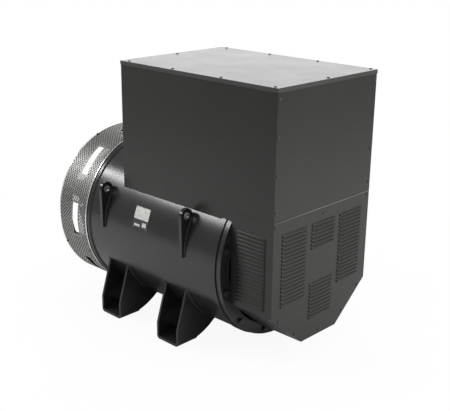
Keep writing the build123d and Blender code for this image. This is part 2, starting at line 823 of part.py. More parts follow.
coil_side = pole_body_width / 2 + coil_gap + coil_thickness
coil_low = coil_side + 2
coil_high = math.sqrt((shoe_inner_r - 5) ** 2 - coil_side**2) - 1
with BuildPart() as field_coils:
    for k in range(pole_count):
        with BuildSketch(on_surface(core_start + core_length / 2, coil_low, 90 * k)) as loop:
            loop_length = core_length + 2 * (coil_overhang + coil_gap)
            RectangleRounded(loop_length, 2 * coil_side, coil_overhang - 4)
            Rectangle(core_length + 2 * coil_gap, pole_body_width + 2 * coil_gap, mode=Mode.SUBTRACT)
        extrude(loop.sketch, amount=coil_high - coil_low)
save(field_coils, "field_coils")

# ================================================================ coupling and fan
plates_start = -plate_standout
plates_end = plates_start + plate_count * plate_thickness
with BuildPart() as coupling_hub:
    hub_bore_r = hub_seat_r + seat_gap
    extrude(annulus(plates_end, coupling_flange_r, hub_bore_r), amount=coupling_flange_thickness)
    extrude(annulus(plates_end, coupling_barrel_r, hub_bore_r), amount=hub_seat_end - plates_end)
    circle = (clamp_screw_circle_r, clamp_screw_count, 0)
    extrude(dots(plates_end, *circle, clamp_screw_r + seat_gap), amount=clamp_screw_depth + 1, mode=Mode.SUBTRACT)
save(coupling_hub, "coupling_hub")

with BuildPart() as drive_plates:
    extrude(annulus(plates_start, plate_r, clamp_ring_bore_r), amount=plates_end - plates_start)
    holes = dots(plates_start, plate_bolt_circle_r, plate_bolt_count, 0, plate_bolt_hole_r)
    extrude(holes, amount=plates_end - plates_start, mode=Mode.SUBTRACT)
    holes = dots(plates_start, *circle, clamp_screw_r + screw_gap)
    extrude(holes, amount=plates_end - plates_start, mode=Mode.SUBTRACT)
save(drive_plates, "drive_plates")

with BuildPart() as clamp_ring:
    ring_start = plates_start - clamp_ring_thickness
    extrude(annulus(ring_start, coupling_flange_r, clamp_ring_bore_r), amount=clamp_ring_thickness)
    holes = dots(ring_start, *circle, clamp_screw_r + screw_gap)
    extrude(holes, amount=clamp_ring_thickness, mode=Mode.SUBTRACT)
save(clamp_ring, "plate_clamp_ring")

with BuildPart() as clamp_screws:
    extrude(hexes(ring_start - clamp_screw_head, *circle, clamp_screw_head_r), amount=clamp_screw_head)
    extrude(dots(ring_start, *circle, clamp_screw_r), amount=plates_end + clamp_screw_depth - ring_start)
save(clamp_screws, "clamp_ring_screws")

with BuildPart() as fan:
    extrude(annulus(fan_start, fan_hub_r, fan_seat_r + seat_gap), amount=fan_length)
    extrude(annulus(fan_start, fan_r, fan_hub_r - 1), amount=fan_backplate)
    with BuildSketch(across(fan_start)) as blade:
        with BuildLine():
            RadiusArc(at_angle(fan_eye_r, 0), at_angle(fan_r - fan_blade_thickness, -16), fan_blade_bow_r)
        trace(line_width=fan_blade_thickness)
    for k in range(fan_blade_count):
        with BuildSketch(across(fan_start)) as turned_blade:
            with Locations(Rotation(0, 0, 360 / fan_blade_count * k)):
                add(blade.sketch.faces())
        extrude(turned_blade.sketch, amount=fan_length)
save(fan, "fan")

with BuildPart() as bearing_locknut:
    with BuildSketch(across(bearing_end)) as nut:
        Circle(locknut_r)
        with PolarLocations(locknut_r, 4):
            Rectangle(8, 12, mode=Mode.SUBTRACT)
        Circle(locknut_seat_r + seat_gap, mode=Mode.SUBTRACT)
    extrude(nut.sketch, amount=locknut_length)
save(bearing_locknut, "bearing_locknut")


# ================================================================ terminal box
def box_side(side):
    """A side of the terminal box, coped to the frame, with folds for the lid and the end panels."""
    outside = side * box_half_width
    side_end = box_end - box_sheet
    with BuildPart() as piece:
        with BuildSketch(Plane.XZ.offset(-outside)) as outline:
            with BuildLine():
                top_left = (box_start, box_wall_top)
                low_left = (box_start, frame_r / 2)
                low_right = (tail_rim_end, frame_r / 2)
                seam = (tail_rim_end, cover_top_z)
                end_low = (side_end, cover_top_z)
                Polyline(top_left, low_left, low_right, seam, end_low, (side_end, box_wall_top), close=True)
            make_face()
        extrude(outline.sketch, amount=side * box_sheet)
        inner_face = box_half_width - box_sheet
        fold_y = side * (inner_face - box_fold / 2)
        with BuildSketch(Plane.XY.offset(box_wall_top - box_sheet)) as top_fold:
            with Locations(((box_start + side_end) / 2 + panel_gap, fold_y)):
                Rectangle(side_end - box_start - 2 * box_sheet - 2 * panel_gap, box_fold)
        extrude(top_fold.sketch, amount=box_sheet)
        with BuildSketch(across(side_end - box_sheet)) as rear_fold:
            with Locations((fold_y, (cover_top_z + box_wall_top) / 2)):
                Rectangle(box_fold, box_wall_top - cover_top_z)
        extrude(rear_fold.sketch, amount=box_sheet)
        rims = ((frame_front, rear_ring_start, frame_r), (rear_ring_start, tail_rim_end, frame_r + rear_ring_proud))
        for low, high, radius in rims:
            extrude(dots(low, 0, 1, 0, radius + cope_gap), amount=high - low, mode=Mode.SUBTRACT)
        with BuildSketch(Plane.XY.offset(box_wall_top - box_sheet)) as screw_holes:
            for x in lid_screw_stations:
                with Locations((x, side * (box_half_width - lid_screw_inset))):
                    Circle(panel_screw_r + seat_gap)
        extrude(screw_holes.sketch, amount=box_sheet, mode=Mode.SUBTRACT)
        with BuildSketch(across(side_end - box_sheet)) as screw_holes:
            for z in corner_screw_heights:
                with Locations((side * (box_half_width - lid_screw_inset), z)):
                    Circle(panel_screw_r + seat_gap)
        extrude(screw_holes.sketch, amount=box_sheet, mode=Mode.SUBTRACT)
    return piece


save(box_side(-1), "box_side_near")
save(box_side(1), "box_side_far")

end_fold_half = box_half_width - box_sheet - box_fold - panel_gap
with BuildPart() as box_front_panel:
    half = box_half_width - box_sheet - panel_gap
    with BuildSketch(across(box_start)) as outline:
        with Locations((0, (frame_r / 2 + box_wall_top) / 2)):
            Rectangle(2 * half, box_wall_top - frame_r / 2)
        Circle(frame_r + cope_gap, mode=Mode.SUBTRACT)
    extrude(outline.sketch, amount=box_sheet)
    with BuildSketch(Plane.XY.offset(box_wall_top - box_sheet)) as fold:
        with Locations((box_start + (box_sheet + box_fold) / 2, 0)):
            Rectangle(box_sheet + box_fold, 2 * end_fold_half)
        with Locations((lid_end_screws[0], 0)):
            Circle(panel_screw_r + seat_gap, mode=Mode.SUBTRACT)
    extrude(fold.sketch, amount=box_sheet)
save(box_front_panel, "box_front_panel")

with BuildPart() as box_rear_panel:
    with BuildSketch(across(box_end - box_sheet)) as outline:
        with Locations((0, (cover_top_z + box_wall_top) / 2)):
            Rectangle(2 * box_half_width, box_wall_top - cover_top_z)
        for z in corner_screw_heights:
            for side in (-1, 1):
                with Locations((side * (box_half_width - lid_screw_inset), z)):
                    Circle(panel_screw_r + screw_gap, mode=Mode.SUBTRACT)
    extrude(outline.sketch, amount=box_sheet)
    with BuildSketch(Plane.XY.offset(box_wall_top - box_sheet)) as fold:
        with Locations((box_end - (box_sheet + box_fold) / 2, 0)):
            Rectangle(box_sheet + box_fold, 2 * end_fold_half)
        with Locations((lid_end_screws[1], 0)):
            Circle(panel_screw_r + seat_gap, mode=Mode.SUBTRACT)
    extrude(fold.sketch, amount=box_sheet)
save(box_rear_panel, "box_rear_panel")

floor_start = box_start + box_sheet + panel_gap
floor_end = box_end - 2 * box_sheet - panel_gap
lead_centre = lead_opening_start + lead_opening_length / 2
with BuildPart() as box_floor:
    with BuildSketch(Plane.XY.offset(box_floor_z)) as outline:
        with Locations(((floor_start + floor_end) / 2, 0)):
            Rectangle(floor_end - floor_start, 2 * (box_half_width - box_sheet - panel_gap))
        with Locations((lead_centre, 0)):
            RectangleRounded(lead_opening_length, lead_opening_width / 1.25, lug_rim_r, mode=Mode.SUBTRACT)
    extrude(outline.sketch, amount=box_sheet)
save(box_floor, "box_floor")

with BuildPart() as box_saddles:
    for station in saddle_stations:
        with BuildSketch(across(station - saddle_thickness / 2)) as outline:
            with Locations((0, (box_floor_z + frame_r / 2) / 2)):
                Rectangle(2 * saddle_half_width, box_floor_z - frame_r / 2)
            Circle(frame_r + cope_gap, mode=Mode.SUBTRACT)
        extrude(outline.sketch, amount=saddle_thickness)
save(box_saddles, "box_saddles")

lid_centre = (box_start + box_end) / 2
lid_length = box_end - box_start + 2 * lid_overhang
lid_width = 2 * (box_half_width + lid_overhang)
with BuildPart() as lid:
    with BuildSketch(Plane.XY.offset(lid_top_z - lid_rim)) as pan:
        with Locations((lid_centre, 0)):
            RectangleRounded(lid_length, lid_width, lid_corner_r)
    extrude(pan.sketch, amount=lid_rim)
    with BuildSketch(Plane.XY.offset(lid_top_z - lid_rim)) as inside:
        with Locations((lid_centre, 0)):
            Rectangle(lid_length - 2 * lid_sheet, lid_width - 2 * lid_sheet)
    extrude(inside.sketch, amount=lid_rim - lid_sheet, mode=Mode.SUBTRACT)
    with BuildSketch(Plane.XY.offset(lid_top_z)) as crown_base:
        with Locations((lid_centre, 0)):
            Rectangle(lid_length - 2 * lid_margin, lid_width - 2 * lid_margin)
    with BuildSketch(Plane.XY.offset(lid_top_z + lid_crown)) as crown_top:
        with Locations((lid_centre, 0)):
            Rectangle(lid_crown, lid_crown)
    loft([crown_base.sketch, crown_top.sketch], ruled=True)
    with BuildSketch(Plane.XY.offset(lid_top_z - lid_sheet)) as screw_holes:
        for x in lid_screw_stations:
            for side in (-1, 1):
                with Locations((x, side * (box_half_width - lid_screw_inset))):
                    Circle(panel_screw_r + screw_gap)
        for x in lid_end_screws:
            with Locations((x, 0)):
                Circle(panel_screw_r + screw_gap)
    extrude(screw_holes.sketch, amount=lid_sheet + lid_crown, mode=Mode.SUBTRACT)
save(lid, "box_lid")


def panel_screws(seat_plane, points):
    """Cap screws standing on a panel, at points given in its plane."""
    with BuildPart() as piece:
        with BuildSketch(seat_plane) as heads:
            with Locations(*points):
                Circle(panel_screw_head_r)
        extrude(heads.sketch, amount=panel_screw_head)
        with BuildSketch(seat_plane) as shanks:
            with Locations(*points):
                Circle(panel_screw_r)
        extrude(shanks.sketch, amount=-panel_screw_reach)
    return piece


lid_points = [(x, side * (box_half_width - lid_screw_inset)) for x in lid_screw_stations for side in (-1, 1)]
lid_points += [(x, 0) for x in lid_end_screws]
save(panel_screws(Plane.XY.offset(lid_top_z), lid_points), "lid_screws")

corner_points = [(side * (box_half_width - lid_screw_inset), z) for z in corner_screw_heights for side in (-1, 1)]
cover_points = [(side * y, z) for y, z in cover_screws_at for side in (-1, 1)] + list(cover_middle_screws_at)
save(panel_screws(across(box_end), corner_points + cover_points), "rear_panel_screws")

# ================================================================ terminals and regulator
deck_z = box_floor_z + box_sheet
busbar_z = deck_z + insulator_height
insulator_ys = (busbar_start_y + insulator_inset, busbar_start_y + busbar_length - insulator_inset)
stud_points = [(x, y) for x in busbar_stations for y in insulator_ys]
with BuildPart() as insulators:
    with BuildSketch(Plane.XY.offset(deck_z)) as feet_of_insulators:
        with Locations(*stud_points):
            RegularPolygon(insulator_r, 6)
    extrude(feet_of_insulators.sketch, amount=insulator_height)
    with BuildSketch(Plane.XY.offset(busbar_z)) as stud_holes:
        with Locations(*stud_points):
            Circle(busbar_bolt_r + seat_gap)
    extrude(stud_holes.sketch, amount=-busbar_bolt_depth - 1, mode=Mode.SUBTRACT)
save(insulators, "terminal_insulators")

with BuildPart() as busbars:
    with BuildSketch(Plane.XY.offset(busbar_z)) as bars:
        for x in busbar_stations:
            with Locations((x, busbar_start_y + busbar_length / 2)):
                Rectangle(busbar_width, busbar_length)
        with Locations(*stud_points):
            Circle(busbar_bolt_r + screw_gap, mode=Mode.SUBTRACT)
    extrude(bars.sketch, amount=busbar_thickness)
save(busbars, "busbars")

with BuildPart() as busbar_bolts:
    with BuildSketch(Plane.XY.offset(busbar_z + busbar_thickness)) as heads:
        with Locations(*stud_points):
            RegularPolygon(busbar_bolt_head_r, 6)
    extrude(heads.sketch, amount=busbar_bolt_head)
    with BuildSketch(Plane.XY.offset(busbar_z + busbar_thickness)) as shanks:
        with Locations(*stud_points):
            Circle(busbar_bolt_r)
    extrude(shanks.sketch, amount=-busbar_thickness - busbar_bolt_depth)
save(busbar_bolts, "busbar_bolts")

regulator_mid = regulator_start + regulator_length / 2
regulator_z = deck_z + regulator_lift
with BuildPart() as regulator_bracket:
    with BuildSketch(Plane.YZ.offset(regulator_start)) as angle_iron:
        with BuildLine():
            back = regulator_y - box_sheet
            top = regulator_z + regulator_height
            Polyline((back, deck_z), (back + box_fold * 2, deck_z), (back + box_fold * 2, deck_z + box_sheet))
            Polyline((back + box_fold * 2, deck_z + box_sheet), (regulator_y, deck_z + box_sheet), (regulator_y, top))
            Polyline((regulator_y, top), (back, top), (back, deck_z))
        make_face()
    extrude(angle_iron.sketch, amount=regulator_length)
save(regulator_bracket, "regulator_bracket")

with BuildPart() as regulator:
    with BuildSketch(Plane.XZ.offset(-regulator_y)) as case:
        with Locations((regulator_mid, regulator_z + regulator_height / 2)):
            RectangleRounded(regulator_length - box_fold, regulator_height - box_fold, regulator_corner_r)
    extrude(case.sketch, amount=-regulator_depth)
    with BuildSketch(Plane.XZ.offset(-regulator_y - regulator_depth)) as strip:
        with Locations((regulator_mid, regulator_z + box_fold)):
            with GridLocations(box_fold / 2, 0, regulator_terminals, 1):
                Rectangle(box_fold / 2 - box_sheet, box_fold / 2)
    extrude(strip.sketch, amount=-box_fold / 3)
save(regulator, "voltage_regulator")


# ================================================================ louvred inlet cover
def cover_outline(inset, top):
    """Corners of the cover's section, each edge moved inwards by inset."""
    slope = math.atan2(cover_shoulder_z - cover_bottom_z, box_half_width - cover_bottom_half_width)
    side = box_half_width - inset
    shoulder = cover_shoulder_z + inset * math.tan((math.pi / 2 - slope) / 2)
    base = cover_bottom_half_width - inset * math.tan(slope / 2)
    low = cover_bottom_z + inset
    return [(-side, top), (-side, shoulder), (-base, low), (base, low), (side, shoulder), (side, top)]


def louvre_profiles(panel, column, top, rows, hollow):
    """Wedge-shaped sections of one column of louvres, on a plane square to the panel's own x axis."""
    reach = louvre_length / 2 - (louvre_skin if hollow else 0)
    start = panel.origin + panel.x_dir * (column - reach)
    skin = louvre_skin if hollow else 0
    with BuildSketch(Plane(origin=start, x_dir=panel.y_dir, z_dir=panel.x_dir)) as wedges:
        for row in range(rows):
            middle = top - row * louvre_pitch
            with BuildLine():
                crest = (middle + louvre_height / 2 - 2 * skin, 0 if not hollow else -louvre_skin / 2)
                lip = (middle - louvre_height / 2, louvre_stand - skin)
                floor = (middle - louvre_height / 2, -cover_sheet)
                Polyline(crest, lip, floor, (crest[0], -cover_sheet), close=True)
            make_face()
    return wedges.sketch


def add_louvres(panel, columns):
    """Raises hoods on a panel and opens each one downwards; columns are (place, top, rows)."""
    for place, top, rows in columns:
        extrude(louvre_profiles(panel, place, top, rows, False), amount=louvre_length)
        hollow = louvre_profiles(panel, place, top, rows, True)
        extrude(hollow, amount=louvre_length - 2 * louvre_skin, mode=Mode.SUBTRACT)


cover_end = box_end - cover_sheet
seam_z = cover_top_z - cover_seam
with BuildPart() as cover_wrapper:
    with BuildSketch(across(tail_rim_end)) as skin:
        Polygon(*cover_outline(0, seam_z), align=None)
        Polygon(*cover_outline(cover_sheet, seam_z + 1), align=None, mode=Mode.SUBTRACT)
    extrude(skin.sketch, amount=cover_end - tail_rim_end)
    for x in (tail_rim_end, cover_end - cover_sheet):
        with BuildSketch(across(x)) as flange:
            Polygon(*cover_outline(0, seam_z), align=None)
            Polygon(*cover_outline(cover_flange, seam_z + 1), align=None, mode=Mode.SUBTRACT)
        extrude(flange.sketch, amount=cover_sheet)
    with BuildSketch(across(cover_end - cover_sheet)) as screw_holes:
        with Locations(*cover_points[:-2], cover_points[-1]):
            Circle(panel_screw_r + seat_gap)
    extrude(screw_holes.sketch, amount=cover_sheet, mode=Mode.SUBTRACT)
    for side in (-1, 1):
        wall_face = Plane(origin=(0, side * box_half_width, 0), x_dir=(-side, 0, 0), z_dir=(0, side, 0))
        add_louvres(wall_face, [(-side * side_louvre_centre, side_louvre_top, side_louvre_rows)])
save(cover_wrapper, "cover_wrapper")

with BuildPart() as rear_louvre_panel:
    with BuildSketch(across(cover_end)) as outline:
        Polygon(*cover_outline(0, seam_z), align=None)
        with Locations(*cover_points):
            Circle(panel_screw_r + screw_gap, mode=Mode.SUBTRACT)
    extrude(outline.sketch, amount=cover_sheet)
    rear_columns = [(side * rear_louvre_column, rear_louvre_top, rear_louvre_rows) for side in (-1, 1)]
    rear_columns += [(0, rear_louvre_top, rear_middle_rows), (0, rear_low_top, rear_low_rows)]
    add_louvres(across(box_end), rear_columns)
save(rear_louvre_panel, "rear_louvre_panel")

with BuildPart() as cover_rail:
    with BuildSketch(across(cover_end - cover_sheet)) as rail:
        with Locations((0, seam_z - cover_rail_height / 2)):
            Rectangle(2 * end_fold_half, cover_rail_height)
        with Locations(cover_middle_screws_at[0]):
            Circle(panel_screw_r + seat_gap, mode=Mode.SUBTRACT)
    extrude(rail.sketch, amount=cover_sheet)
save(cover_rail, "cover_top_rail")

# ================================================================ nameplate
plate_mid_angle = (plate_low_angle + plate_high_angle) / 2
plate_half_angle = (plate_high_angle - plate_low_angle) / 2
plate_inner_r = frame_r + cope_gap
plate_outer_r = plate_inner_r + nameplate_sheet
rivet_step = math.degrees(rivet_inset / frame_r)
rivet_spots = [
    (x, angle)
    for x in (plate_start_x + rivet_inset, plate_end_x - rivet_inset)
    for angle in (plate_low_angle + rivet_step, plate_high_angle - rivet_step)
]
with BuildPart() as nameplate:
    extrude(
        sector(plate_start_x, plate_outer_r, plate_inner_r, plate_mid_angle, plate_half_angle),
        amount=plate_end_x - plate_start_x,
    )
save(nameplate, "nameplate")

with BuildPart() as rivets:
    for x, angle in rivet_spots:
        with BuildSketch(on_surface(x, plate_outer_r + seat_gap, angle)) as head:
            Circle(rivet_r)
        extrude(head.sketch, amount=nameplate_sheet)
save(rivets, "nameplate_rivets")
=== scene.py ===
"""Looks of a single-bearing generator alternator head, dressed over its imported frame.

Metres. The origin is the centre of the adaptor face, +X runs along the shaft to the louvred tail,
-Y is the near side with the nameplate and +Z is up.
"""

import json
import math

import bmesh
import bpy
from mathutils import Matrix, Vector


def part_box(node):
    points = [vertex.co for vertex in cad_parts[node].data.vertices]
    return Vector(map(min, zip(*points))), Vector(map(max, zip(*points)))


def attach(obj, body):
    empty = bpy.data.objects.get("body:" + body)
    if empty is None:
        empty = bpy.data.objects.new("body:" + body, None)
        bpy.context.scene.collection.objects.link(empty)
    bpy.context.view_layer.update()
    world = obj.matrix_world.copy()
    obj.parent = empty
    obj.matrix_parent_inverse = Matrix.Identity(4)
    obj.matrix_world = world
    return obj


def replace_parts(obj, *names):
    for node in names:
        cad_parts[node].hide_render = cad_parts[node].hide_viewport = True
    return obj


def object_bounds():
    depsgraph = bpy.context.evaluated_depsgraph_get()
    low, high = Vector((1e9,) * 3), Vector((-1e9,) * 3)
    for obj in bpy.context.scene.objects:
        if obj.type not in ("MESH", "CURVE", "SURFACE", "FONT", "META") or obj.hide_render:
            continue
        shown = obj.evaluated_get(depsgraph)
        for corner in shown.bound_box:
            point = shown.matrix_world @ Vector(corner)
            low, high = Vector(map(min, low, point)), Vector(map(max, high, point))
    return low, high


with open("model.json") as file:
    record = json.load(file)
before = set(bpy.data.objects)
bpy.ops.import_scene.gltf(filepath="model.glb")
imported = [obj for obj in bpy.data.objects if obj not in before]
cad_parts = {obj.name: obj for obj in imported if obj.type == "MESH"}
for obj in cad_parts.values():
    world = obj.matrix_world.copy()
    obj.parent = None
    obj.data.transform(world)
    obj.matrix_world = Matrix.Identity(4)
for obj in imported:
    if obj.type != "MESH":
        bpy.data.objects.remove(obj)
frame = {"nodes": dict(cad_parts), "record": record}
cad_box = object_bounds()
scene = bpy.context.scene
scene.view_settings.view_transform = "Standard"
mm = 0.001

# ---------------------------------------------------------------- places taken from the frame
shell_low, shell_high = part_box("frame_shell")
shell_r = shell_high.y
guard_low, guard_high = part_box("air_outlet_guard")
guard_bead_r = guard_high.y
box_low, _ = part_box("box_side_near")
panel_low, panel_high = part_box("rear_louvre_panel")
floor_z = cad_box[0].z

# ---------------------------------------------------------------- sizes of the added pieces
# The guard is laid out as a grid of cells, rows along the shaft and columns round it. Every second
# cell is punched, and the clear slots take whole blocks of cells.
guard_bead_proud = 1.5 * mm
guard_skin_r = guard_bead_r - guard_bead_proud
guard_sheet = 2 * mm
guard_rows = 25
guard_columns = 272
slot_rows = (12, 17)
slot_columns = 18
slot_pitch = 34
hole_inset = 0.4 * mm
hole_corner = 2.3 * mm
bead_width = 4 * mm
rim_width = 6 * mm
rim_soft = 0.6 * mm

# A louvre column is (place across the panel, height of its top hood, hoods, length of a hood).
louvre_pitch = 15.4 * mm
louvre_height = 11 * mm
louvre_reach = 5 * mm
louvre_stand = 4.99 * mm  # a hair inside the reach, so that nothing passes the frame's own box
side_louvres = [(1100 * mm, 169 * mm, 19, 140 * mm)]
rear_louvres = [
    (-172 * mm, 180 * mm, 19, 140 * mm),
    (172 * mm, 180 * mm, 19, 140 * mm),
    (0, 180 * mm, 7, 140 * mm),
    (0, -63 * mm, 10, 140 * mm),
]

screw_head_r = 6 * mm
screw_head_height = 3 * mm

ring_weld = 5 * mm
foot_weld = 4 * mm
foot_weld_starts = {"near": 203, "far": 297}
foot_weld_sweep = 40
lug_weld = 3 * mm
lug_weld_starts = {"near": 150.5, "far": 3.5}
lug_weld_sweep = 26

lip_depth = 2 * mm
lip_height = 3.4 * mm
lip_drop = 1 * mm
lip_side_gap = 6 * mm
lip_round = 0.9 * mm

full_turn = math.tau


# ================================================================ camera
def place_camera():
    """A long-lens view of the louvred tail and the near side, from a little above the lid."""
    yaw, pitch, roll = math.radians(43.725), math.radians(18.553), math.radians(0.637)
    focal_share = 1.85310
    eye = Vector((2.99448, -2.41116, 1.23691))
    back = Vector((math.sin(yaw) * math.cos(pitch), -math.cos(yaw) * math.cos(pitch), math.sin(pitch)))
    level = (-back).cross(Vector((0, 0, 1))).normalized()
    rise = level.cross(-back)
    right = math.cos(roll) * level + math.sin(roll) * rise
    up = -math.sin(roll) * level + math.cos(roll) * rise
    data = bpy.data.cameras.new("camera")
    data.sensor_width = 36.0
    data.lens = focal_share * data.sensor_width
    camera = bpy.data.objects.new("camera", data)
    scene.collection.objects.link(camera)
    camera.matrix_world = Matrix.Translation(eye) @ Matrix((right, up, back)).transposed().to_4x4()
    scene.camera = camera


place_camera()


# ================================================================ node helpers
def add(tree, kind, inputs=None, **settings):
    """A node with its settings made; an input is a value or another node's socket."""
    node = tree.nodes.new(kind)
    for key, value in settings.items():
        setattr(node, key, value)
    for key, value in (inputs or {}).items():
        if isinstance(value, bpy.types.NodeSocket):
            tree.links.new(value, node.inputs[key])
        else:
            node.inputs[key].default_value = value
    return node


def maths(tree, operation, first, second=0.5, clamp=False):
    """One sum on values or sockets."""
    return add(tree, "ShaderNodeMath", {0: first, 1: second}, operation=operation, use_clamp=clamp).outputs[0]


def ramp(tree, value, low, high, to_low=0.0, to_high=1.0):
    """Maps a value from one range to another, held at the ends."""
    sockets = {"Value": value, "From Min": low, "From Max": high, "To Min": to_low, "To Max": to_high}
    return add(tree, "ShaderNodeMapRange", sockets).outputs[0]


def blended(tree, share, first, second):
    """Two colours mixed by a mask."""
    mix = add(tree, "ShaderNodeMix", data_type="RGBA")
    for index, value in ((0, share), (6, first), (7, second)):
        if isinstance(value, bpy.types.NodeSocket):
            tree.links.new(value, mix.inputs[index])
        else:
            mix.inputs[index].default_value = (*value, 1) if index else value
    return mix.outputs[2]


def noise(tree, place, scale, detail):
    """A cloud of values round one half."""
    return add(tree, "ShaderNodeTexNoise", {"Vector": place, "Scale": scale, "Detail": detail}).outputs[0]


def shaft_radius(tree, split):
    """The distance from the shaft's axis, from the three split parts of a place."""
    across = add(tree, "ShaderNodeCombineXYZ", {0: split[1], 1: split[2]}).outputs[0]
    return add(tree, "ShaderNodeVectorMath", {0: across}, operation="LENGTH").outputs["Value"]


def effect(name, inputs, outputs):
    """An empty node group with named sockets; returns its tree and its two ends."""
    tree = bpy.data.node_groups.new(name, "ShaderNodeTree")
    for socket, kind, value in inputs:
        made = tree.interface.new_socket(socket, in_out="INPUT", socket_type=kind)
        if value is not None:
            made.default_value = value
    for socket, kind in outputs:
        tree.interface.new_socket(socket, in_out="OUTPUT", socket_type=kind)
    return tree, tree.nodes.new("NodeGroupInput").outputs, tree.nodes.new("NodeGroupOutput")


VECTOR, VALUE = "NodeSocketVector", "NodeSocketFloat"


# ================================================================ effects shared by the finishes
def orange_peel():
    """The fine pebbling of sprayed or baked paint, with slow waves of tone."""
    inputs = [("Place", VECTOR, None), ("Grain", VALUE, 300.0), ("Waves", VALUE, 3.0)]
    tree, given, out = effect("orange peel", inputs, [("Height", VALUE), ("Tone", VALUE)])
    tree.links.new(noise(tree, given["Place"], given["Grain"], 2.0), out.inputs["Height"])
    tree.links.new(noise(tree, given["Place"], given["Waves"], 3.0), out.inputs["Tone"])
    return tree


def handling():
    """Wiped and rubbed patches that dull a surface unevenly."""
    inputs = [("Place", VECTOR, None), ("Scale", VALUE, 9.0), ("Level", VALUE, 0.4), ("Spread", VALUE, 0.1)]
    tree, given, out = effect("handling", inputs, [("Roughness", VALUE)])
    stretched = add(tree, "ShaderNodeMapping", {"Vector": given["Place"], "Scale": (1.0, 1.4, 0.6)})
    patches = noise(tree, stretched.outputs[0], given["Scale"], 6.0)
    centred = maths(tree, "SUBTRACT", patches, 0.5)
    spread = maths(tree, "MULTIPLY", centred, given["Spread"])
    tree.links.new(maths(tree, "ADD", spread, given["Level"]), out.inputs["Roughness"])
    return tree


def dust_and_top_sheen():
    """Lighter grey in specks on faces that look upwards: a painted sheen of the overhead light on the tops,
    mixed with dust.
    """
    inputs = [("Place", VECTOR, None), ("Facing", VECTOR, None), ("Amount", VALUE, 0.2)]
    tree, given, out = effect("dust_and_top_sheen", inputs, [("Mask", VALUE)])
    facing = add(tree, "ShaderNodeSeparateXYZ", {0: given["Facing"]}).outputs[2]
    upward = ramp(tree, facing, 0.2, 1.0)
    specks = noise(tree, given["Place"], 140.0, 4.0)
    speck_share = ramp(tree, specks, 0.35, 0.7, 0.35, 1.0)
    dust_and_sheen_mask = maths(tree, "MULTIPLY", upward, speck_share)
    tree.links.new(maths(tree, "MULTIPLY", dust_and_sheen_mask, given["Amount"], True), out.inputs["Mask"])
    return tree


def spangle():
    """The frosted crystals of a galvanised skin."""
    inputs = [("Place", VECTOR, None), ("Scale", VALUE, 90.0)]
    tree, given, out = effect("spangle", inputs, [("Tone", VALUE), ("Height", VALUE)])
    cells = add(tree, "ShaderNodeTexVoronoi", {"Vector": given["Place"], "Scale": given["Scale"]})
    shade = add(tree, "ShaderNodeSeparateColor", {0: cells.outputs["Color"]}).outputs[0]
    tree.links.new(shade, out.inputs["Tone"])
    tree.links.new(noise(tree, given["Place"], 1500.0, 2.0), out.inputs["Height"])
    return tree


def turning():
    """Fine tool lines round the shaft, left by a lathe."""
    inputs = [("Place", VECTOR, None), ("Pitch", VALUE, 900.0)]
    tree, given, out = effect("turning", inputs, [("Height", VALUE), ("Tone", VALUE)])
    split = add(tree, "ShaderNodeSeparateXYZ", {0: given["Place"]}).outputs
    depth = maths(tree, "ADD", shaft_radius(tree, split), split[0])
    line_place = add(tree, "ShaderNodeCombineXYZ", {0: depth}).outputs[0]
    tree.links.new(noise(tree, line_place, given["Pitch"], 3.0), out.inputs["Height"])
    tree.links.new(noise(tree, given["Place"], 14.0, 3.0), out.inputs["Tone"])
    return tree


peel, rubbed, dust_sheen_group, zinc_bloom, tool_lines = orange_peel(), handling(), dust_and_top_sheen(), spangle(), turning()


def place_effect(tree, group, inputs):
    """A shared effect used in a finish; returns its outputs."""
    return add(tree, "ShaderNodeGroup", inputs, node_tree=group).outputs


def shaded(colour, share):
    """A colour made darker or lighter, never past white."""
    return [min(share * c, 1) for c in colour]


def finish_of(name, roughness, metallic=0.0, specular=0.5, coat=0.0, coat_roughness=0.2):
    """A material whose all-over numbers sit on the shader; returns material, tree, shader and place."""
    material = bpy.data.materials.new(name)
    material.use_nodes = True
    tree = material.node_tree
    shader = tree.nodes["Principled BSDF"]
    shader.inputs["Roughness"].default_value = roughness
    shader.inputs["Metallic"].default_value = metallic
    shader.inputs["Specular IOR Level"].default_value = specular
    shader.inputs["Coat Weight"].default_value = coat
    shader.inputs["Coat Roughness"].default_value = coat_roughness
    place = add(tree, "ShaderNodeTexCoord").outputs["Object"]
    return material, tree, shader, place


def bump(tree, shader, height, strength, distance):
    """Lets a height stir the surface of a finish."""
    made = add(tree, "ShaderNodeBump", {"Height": height, "Strength": strength, "Distance": distance})
    tree.links.new(made.outputs[0], shader.inputs["Normal"])


# ================================================================ finishes
# The grey that upward faces are lightened towards: a painted sheen on the tops, mixed with dust.
dust_and_sheen_grey = (0.42, 0.41, 0.39)


